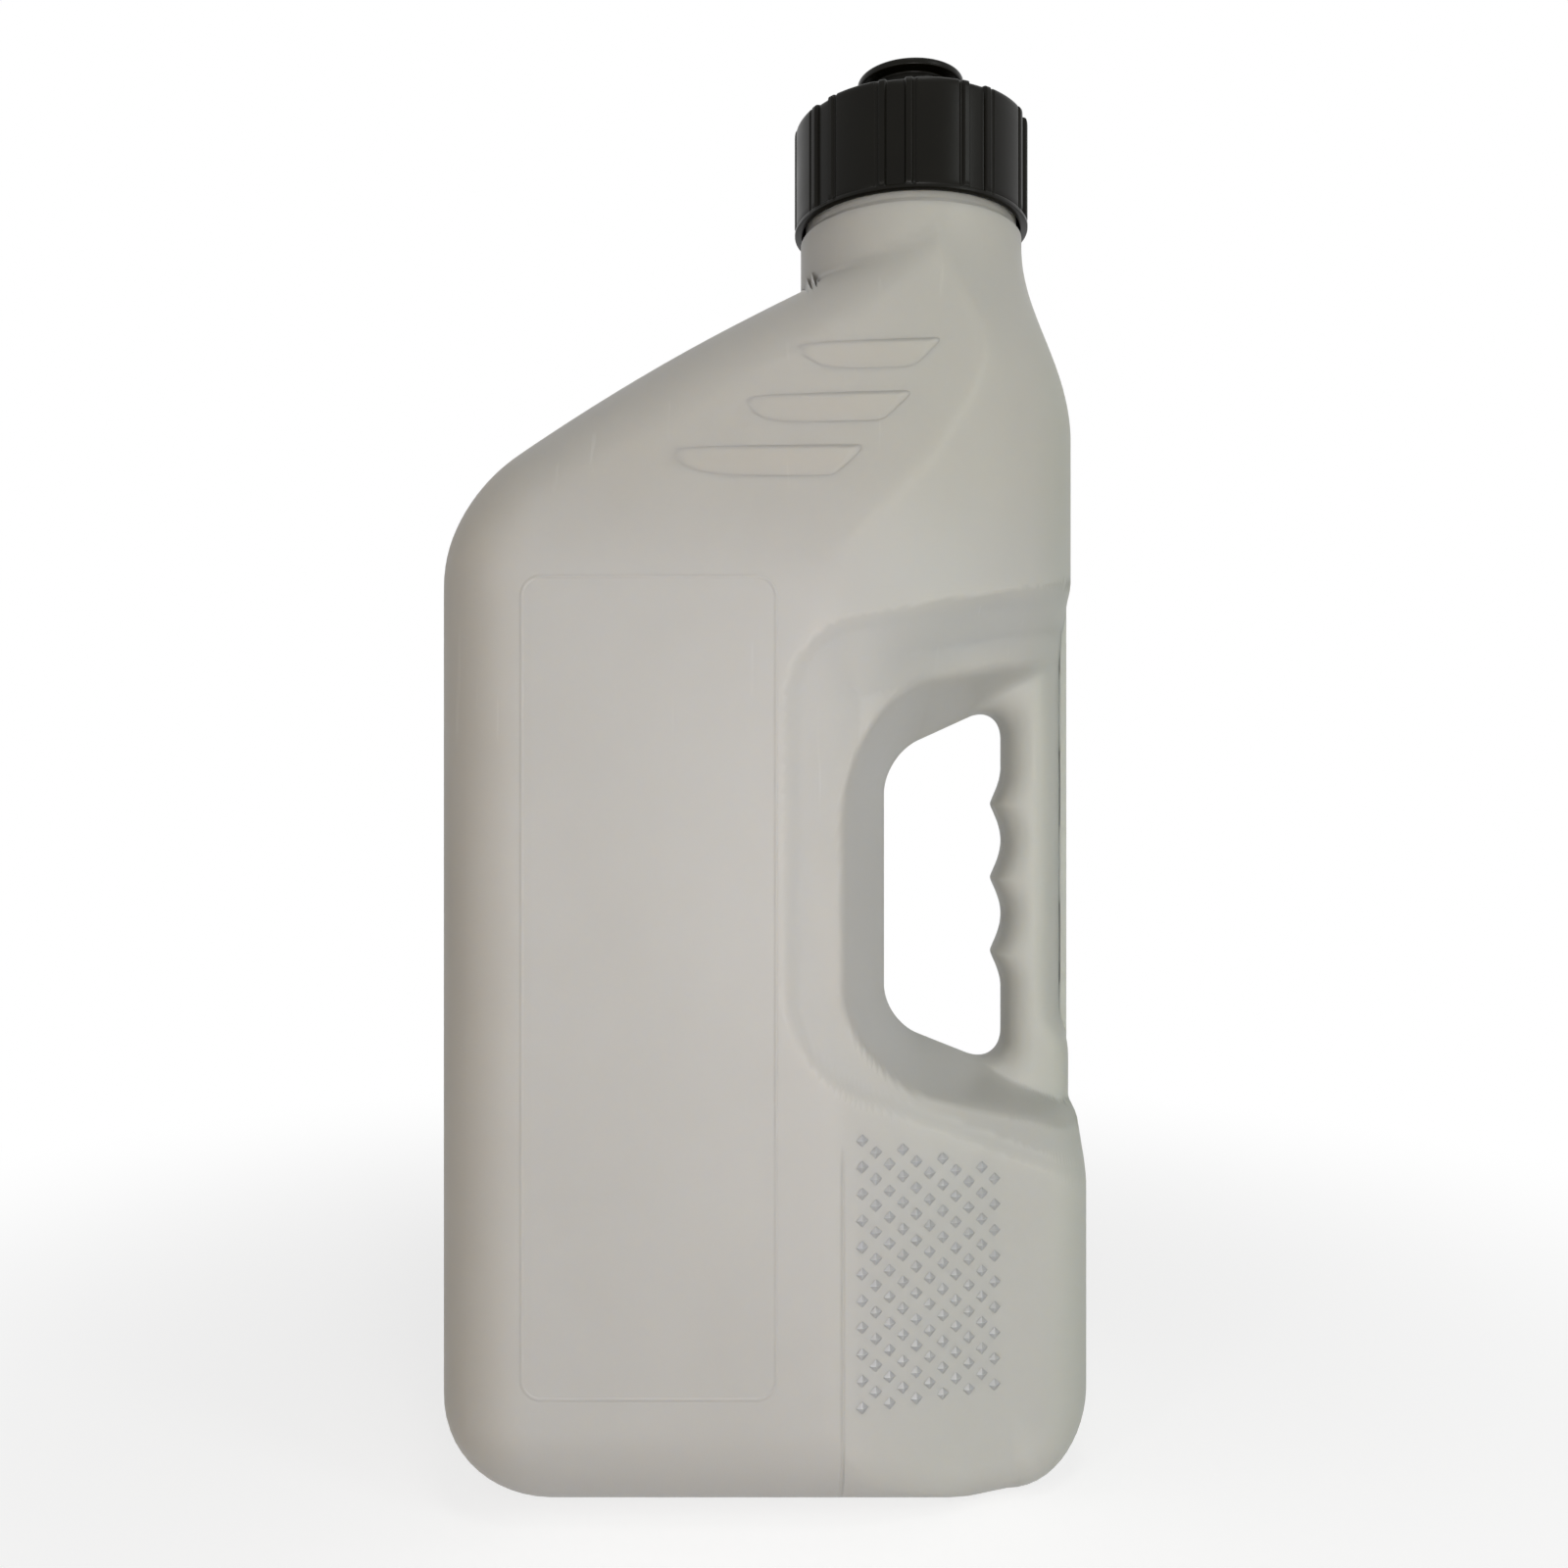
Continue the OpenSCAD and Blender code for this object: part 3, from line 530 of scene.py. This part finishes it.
# Materials
class Nodes:
    """Short calls for building a node material."""

    def __init__(self, name):
        self.mat = bpy.data.materials.new(name)
        self.mat.use_nodes = True
        self.tree = self.mat.node_tree
        self.tree.nodes.clear()

    def add(self, kind, **values):
        node = self.tree.nodes.new(kind)
        for key, value in values.items():
            setattr(node, key, value)
        return node

    def put(self, socket, value):
        if isinstance(value, bpy.types.NodeSocket):
            self.tree.links.new(value, socket)
        else:
            socket.default_value = value

    def math(self, operation, a, b=0.0):
        node = self.add("ShaderNodeMath", operation=operation)
        for socket, value in zip(node.inputs, (a, b)):
            self.put(socket, value)
        return node.outputs[0]

    def noise(self, vector, scale, detail=3.0, rough=0.5):
        node = self.add("ShaderNodeTexNoise")
        self.put(node.inputs["Vector"], vector)
        for key, value in (("Scale", scale), ("Detail", detail), ("Roughness", rough)):
            node.inputs[key].default_value = value
        return node.outputs[0]

    def scaled(self, vector, scale, turn=(0, 0, 0)):
        node = self.add("ShaderNodeMapping")
        self.put(node.inputs["Vector"], vector)
        node.inputs["Scale"].default_value = scale
        node.inputs["Rotation"].default_value = turn
        return node.outputs[0]

    def colour(self, fac, a, b, blend="MIX"):
        node = self.add("ShaderNodeMix", data_type="RGBA", blend_type=blend)
        self.put(node.inputs[0], fac)
        self.put(node.inputs[6], a)
        self.put(node.inputs[7], b)
        return node.outputs[2]

    def range(self, value, a, b, c=0.0, d=1.0):
        node = self.add("ShaderNodeMapRange")
        for socket, v in zip(node.inputs, (value, a, b, c, d)):
            self.put(socket, v)
        return node.outputs[0]

    def bump(self, height, strength, distance, normal=None):
        node = self.add("ShaderNodeBump")
        self.put(node.inputs["Height"], height)
        node.inputs["Strength"].default_value = strength
        node.inputs["Distance"].default_value = distance
        if normal is not None:
            self.put(node.inputs["Normal"], normal)
        return node.outputs[0]

    def finish(self, **inputs):
        shader = self.add("ShaderNodeBsdfPrincipled")
        for key, value in inputs.items():
            self.put(shader.inputs[key.replace("_", " ")], value)
        out = self.add("ShaderNodeOutputMaterial")
        self.tree.links.new(shader.outputs[0], out.inputs[0])
        return self.mat


def natural_plastic(name="natural_plastic", smoothest=0.40):
    """Milky natural polyethylene: translucent, satin, faintly mottled and scratched."""
    n = Nodes(name)
    at = n.add("ShaderNodeTexCoord").outputs["Object"]
    xyz = n.add("ShaderNodeSeparateXYZ")
    n.put(xyz.inputs[0], at)
    x, y, z = xyz.outputs
    cloud = n.noise(at, 14.0, 4.0)
    colour = n.colour(n.range(cloud, 0.3, 0.7), (0.515, 0.497, 0.467, 1), (0.54, 0.522, 0.493, 1))
    # The label panel's fine outline: distance to a rounded rectangle on the front and back.
    label_x, label_z, label_w, label_h, label_r = -0.0492, 0.220, 0.1008, 0.326, 0.0078
    qx = n.math("ABSOLUTE", n.math("ADD", x, -label_x))
    qx = n.math("SUBTRACT", qx, label_w / 2 - label_r)
    qz = n.math("ABSOLUTE", n.math("SUBTRACT", z, label_z))
    qz = n.math("SUBTRACT", qz, label_h / 2 - label_r)
    mx, mz = n.math("MAXIMUM", qx, 0.0), n.math("MAXIMUM", qz, 0.0)
    away = n.math("SQRT", n.math("ADD", n.math("MULTIPLY", mx, mx), n.math("MULTIPLY", mz, mz)))
    inside = n.math("MINIMUM", n.math("MAXIMUM", qx, qz), 0.0)
    rect = n.math("SUBTRACT", n.math("ADD", away, inside), label_r)
    line = n.range(n.math("ABSOLUTE", rect), 0.0002, 0.0009, 1.0, 0.0)
    line = n.math("MULTIPLY", line, n.range(n.math("ABSOLUTE", y), 0.094, 0.097))
    # Scuffs: fine slanted strokes, mostly on the upper half of the panels.
    strokes = n.noise(n.scaled(at, (260, 40, 9), (0, 0.5, 0)), 1.0, 2.0, 0.6)
    patches = n.noise(at, 22.0, 2.0)
    scuff = n.math("MULTIPLY", n.range(strokes, 0.66, 0.74), n.range(patches, 0.5, 0.62))
    scuff = n.math("MULTIPLY", scuff, n.range(z, 0.257, 0.327))
    colour = n.colour(n.math("MULTIPLY", scuff, 0.25), colour, (0.70, 0.69, 0.67, 1))
    # Painted light and shade: the plain side's edge is painted darker and warmer, the handle side greener
    # and darker towards its edge, and the shoulders above the panel slightly darker and warmer.
    painted_light_tints = (((x, -0.095, -0.138), (0.93, 0.87, 0.78, 1)),
             ((x, 0.02, 0.07), (0.97, 0.995, 0.975, 1)),
             ((x, 0.11, 0.138), (0.93, 0.97, 0.92, 1)),
             ((z, 0.385, 0.43), (0.975, 0.96, 0.925, 1)))
    for share, painted_tint in painted_light_tints:
        colour = n.colour(n.range(*share), colour, n.colour(1.0, colour, painted_tint, "MULTIPLY"))
    grain = n.noise(at, 1400.0, 2.0)
    waves = n.noise(at, 26.0, 2.0)
    normal = n.bump(waves, 0.35, 0.0012)
    normal = n.bump(grain, 0.12, 0.00012, normal)
    # A fine seam in the facet beside the panel, below the recess: bumped in as a groove, with painted shade
    # darkening its line.
    seam_x = 0.0277
    seam_and_shade = n.range(n.math("ABSOLUTE", n.math("SUBTRACT", x, seam_x)), 0.0002, 0.0010, 1.0, 0.0)
    seam_and_shade = n.math("MULTIPLY", seam_and_shade, n.range(z, 0.150, 0.158, 1.0, 0.0))
    normal = n.bump(n.math("ADD", line, n.math("MULTIPLY", scuff, 0.15)), 0.8, 0.00035, normal)
    normal = n.bump(seam_and_shade, 1.0, -0.0005, normal)
    # Painted shade: the seam's line is darkened in the colour.
    colour = n.colour(n.math("MULTIPLY", seam_and_shade, 0.12), colour, (0.3, 0.3, 0.28, 1))
    return n.finish(Base_Color=colour, Roughness=n.range(cloud, 0.3, 0.7, smoothest, smoothest + 0.08),
                    Normal=normal, Subsurface_Weight=0.5, Subsurface_Radius=(1.0, 0.85, 0.62),
                    Subsurface_Scale=0.012,
                    Specular_IOR_Level=0.3, IOR=1.5)


def black_plastic():
    """Black moulded plastic, satin, with a fine grain."""
    n = Nodes("black_plastic")
    at = n.add("ShaderNodeTexCoord").outputs["Object"]
    cloud = n.noise(at, 40.0, 3.0)
    grain = n.noise(at, 1600.0, 2.0)
    colour = n.colour(cloud, (0.0020, 0.0016, 0.0004, 1), (0.0036, 0.0031, 0.0012, 1))
    normal = n.bump(grain, 0.15, 0.0001, n.bump(n.noise(at, 60.0), 0.15, 0.0005))
    return n.finish(Base_Color=colour, Roughness=n.range(cloud, 0.3, 0.7, 0.28, 0.34), Normal=normal,
                    Specular_IOR_Level=0.13)


def seal_rubber():
    """Dark grey rubber, matt."""
    n = Nodes("seal_rubber")
    at = n.add("ShaderNodeTexCoord").outputs["Object"]
    cloud = n.noise(at, 90.0, 3.0)
    colour = n.colour(cloud, (0.10, 0.10, 0.10, 1), (0.16, 0.16, 0.155, 1))
    return n.finish(Base_Color=colour, Roughness=n.range(cloud, 0.3, 0.7, 0.7, 0.85),
                    Normal=n.bump(n.noise(at, 900.0), 0.2, 0.0002))


# Pieces
plastic, black, rubber = natural_plastic(), black_plastic(), seal_rubber()
crisp_plastic = natural_plastic("crisp_plastic", 0.22)
shell = moulded_shell(plastic)
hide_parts("jug_body")
for piece in (shell, neck_finish(plastic), grip_pyramids(crisp_plastic),
              shoulder_louvres(plastic)):
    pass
for piece, node, slot in (
        (screw_cap(black), "screw_cap", "black_plastic"),
        (outlet_cap(black), "outlet_cap", "black_plastic"),
        (ring("cap_seal", 50.3, 8.0, 598.9, 2.2, "cap_ring", rubber), "cap_gasket", "seal_rubber"),
        (ring("outlet_seal", 16.5, 3.0, 623.3, 2.2, "outlet_ring", rubber), "outlet_gasket", "seal_rubber")):
    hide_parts(node)


# Floor, light and camera
def background(tree):
    """1 for the rays that show the background: the camera's, and those in reflections."""
    path = tree.nodes.new("ShaderNodeLightPath")
    seen = tree.nodes.new("ShaderNodeMath")
    seen.operation = "MAXIMUM"
    tree.links.new(path.outputs["Is Camera Ray"], seen.inputs[0])
    more = tree.nodes.new("ShaderNodeMath")
    more.operation = "MAXIMUM"
    tree.links.new(path.outputs["Is Glossy Ray"], more.inputs[0])
    tree.links.new(path.outputs["Is Transmission Ray"], more.inputs[1])
    tree.links.new(more.outputs[0], seen.inputs[1])
    return seen.outputs[0]


def make_floor():
    mesh = bpy.data.meshes.new("floor")
    a = np.linspace(0, 2 * math.pi, 96, endpoint=False)
    mesh.from_pydata([(3 * math.cos(t), 3 * math.sin(t), 0) for t in a], [], [list(range(96))])
    floor = bpy.data.objects.new("floor", mesh)
    bpy.context.scene.collection.objects.link(floor)
    mat = bpy.data.materials.new("floor")
    mat.use_nodes = True
    tree = mat.node_tree
    tree.nodes.clear()
    diffuse = tree.nodes.new("ShaderNodeBsdfDiffuse")
    diffuse.inputs["Color"].default_value = (0.62, 0.62, 0.62, 1)
    pale = tree.nodes.new("ShaderNodeBsdfDiffuse")
    pale.inputs["Color"].default_value = (0.4, 0.4, 0.4, 1)
    glow = tree.nodes.new("ShaderNodeEmission")
    glow.inputs["Strength"].default_value = 0.72
    both = tree.nodes.new("ShaderNodeAddShader")
    tree.links.new(pale.outputs[0], both.inputs[0])
    tree.links.new(glow.outputs[0], both.inputs[1])
    # Away from the object the floor runs out into the white background.
    place = tree.nodes.new("ShaderNodeTexCoord")
    length = tree.nodes.new("ShaderNodeVectorMath")
    length.operation = "LENGTH"
    tree.links.new(place.outputs["Object"], length.inputs[0])
    away = tree.nodes.new("ShaderNodeMapRange")
    away.interpolation_type = "SMOOTHSTEP"
    away.inputs["From Min"].default_value = 0.2
    away.inputs["From Max"].default_value = 0.8
    tree.links.new(length.outputs["Value"], away.inputs["Value"])
    white = tree.nodes.new("ShaderNodeEmission")
    shown = tree.nodes.new("ShaderNodeMixShader")
    tree.links.new(away.outputs[0], shown.inputs[0])
    tree.links.new(both.outputs[0], shown.inputs[1])
    tree.links.new(white.outputs[0], shown.inputs[2])
    choose = tree.nodes.new("ShaderNodeMixShader")
    tree.links.new(background(tree), choose.inputs[0])
    tree.links.new(diffuse.outputs[0], choose.inputs[1])
    tree.links.new(shown.outputs[0], choose.inputs[2])
    out = tree.nodes.new("ShaderNodeOutputMaterial")
    tree.links.new(choose.outputs[0], out.inputs[0])
    mesh.materials.append(mat)


def make_world():
    world = bpy.data.worlds.new("studio")
    bpy.context.scene.world = world
    world.use_nodes = True
    tree = world.node_tree
    tree.nodes.clear()
    dim = tree.nodes.new("ShaderNodeBackground")
    dim.inputs["Color"].default_value = (1, 1, 1, 1)
    dim.inputs["Strength"].default_value = 0.17
    white = tree.nodes.new("ShaderNodeBackground")
    white.inputs["Color"].default_value = (1, 1, 1, 1)
    choose = tree.nodes.new("ShaderNodeMixShader")
    tree.links.new(background(tree), choose.inputs[0])
    tree.links.new(dim.outputs[0], choose.inputs[1])
    tree.links.new(white.outputs[0], choose.inputs[2])
    out = tree.nodes.new("ShaderNodeOutputWorld")
    tree.links.new(choose.outputs[0], out.inputs[0])


def softbox(name, place, aim, size, power, colour):
    lamp = bpy.data.lights.new(name, "AREA")
    lamp.shape = "DISK"
    lamp.size = size
    lamp.energy = power
    lamp.color = colour
    o = bpy.data.objects.new(name, lamp)
    bpy.context.scene.collection.objects.link(o)
    o.location = place
    o.rotation_mode = "QUATERNION"
    o.rotation_quaternion = (Vector(aim) - Vector(place)).to_track_quat("-Z", "Y")


make_floor()
make_world()
softbox("key", (0.12, -0.95, 0.22), (0.02, 0, 0.24), 0.45, 4.4, (1.0, 0.965, 0.95))
softbox("upper_left", (-0.68, -1.03, 0.52), (0, 0, 0.15), 0.2, 1.0, (1.0, 0.97, 0.92))
softbox("upper_right", (0.86, -0.78, 1.02), (0.05, 0, 0.5), 0.35, 1.5, (0.95, 1.0, 0.97))
softbox("top", (0.1, -0.55, 1.5), (0.02, 0, 0.3), 0.3, 1.6, (1.0, 1.0, 0.98))
softbox("fill", (0.85, -0.75, 0.28), (0.05, 0, 0.2), 0.3, 1.1, (0.97, 1.0, 0.99))

camera = bpy.data.cameras.new("camera")
camera.lens, camera.sensor_width = 31.5, 36
camera.shift_x = 0.0125
camera.clip_start, camera.clip_end = 0.05, 20
eye = bpy.data.objects.new("camera", camera)
eye.location = (-0.00345, -0.644, 0.3008)
eye.rotation_euler = (math.pi / 2, 0, 0)
bpy.context.scene.collection.objects.link(eye)
bpy.context.scene.camera = eye
bpy.context.scene.view_settings.view_transform = "Standard"
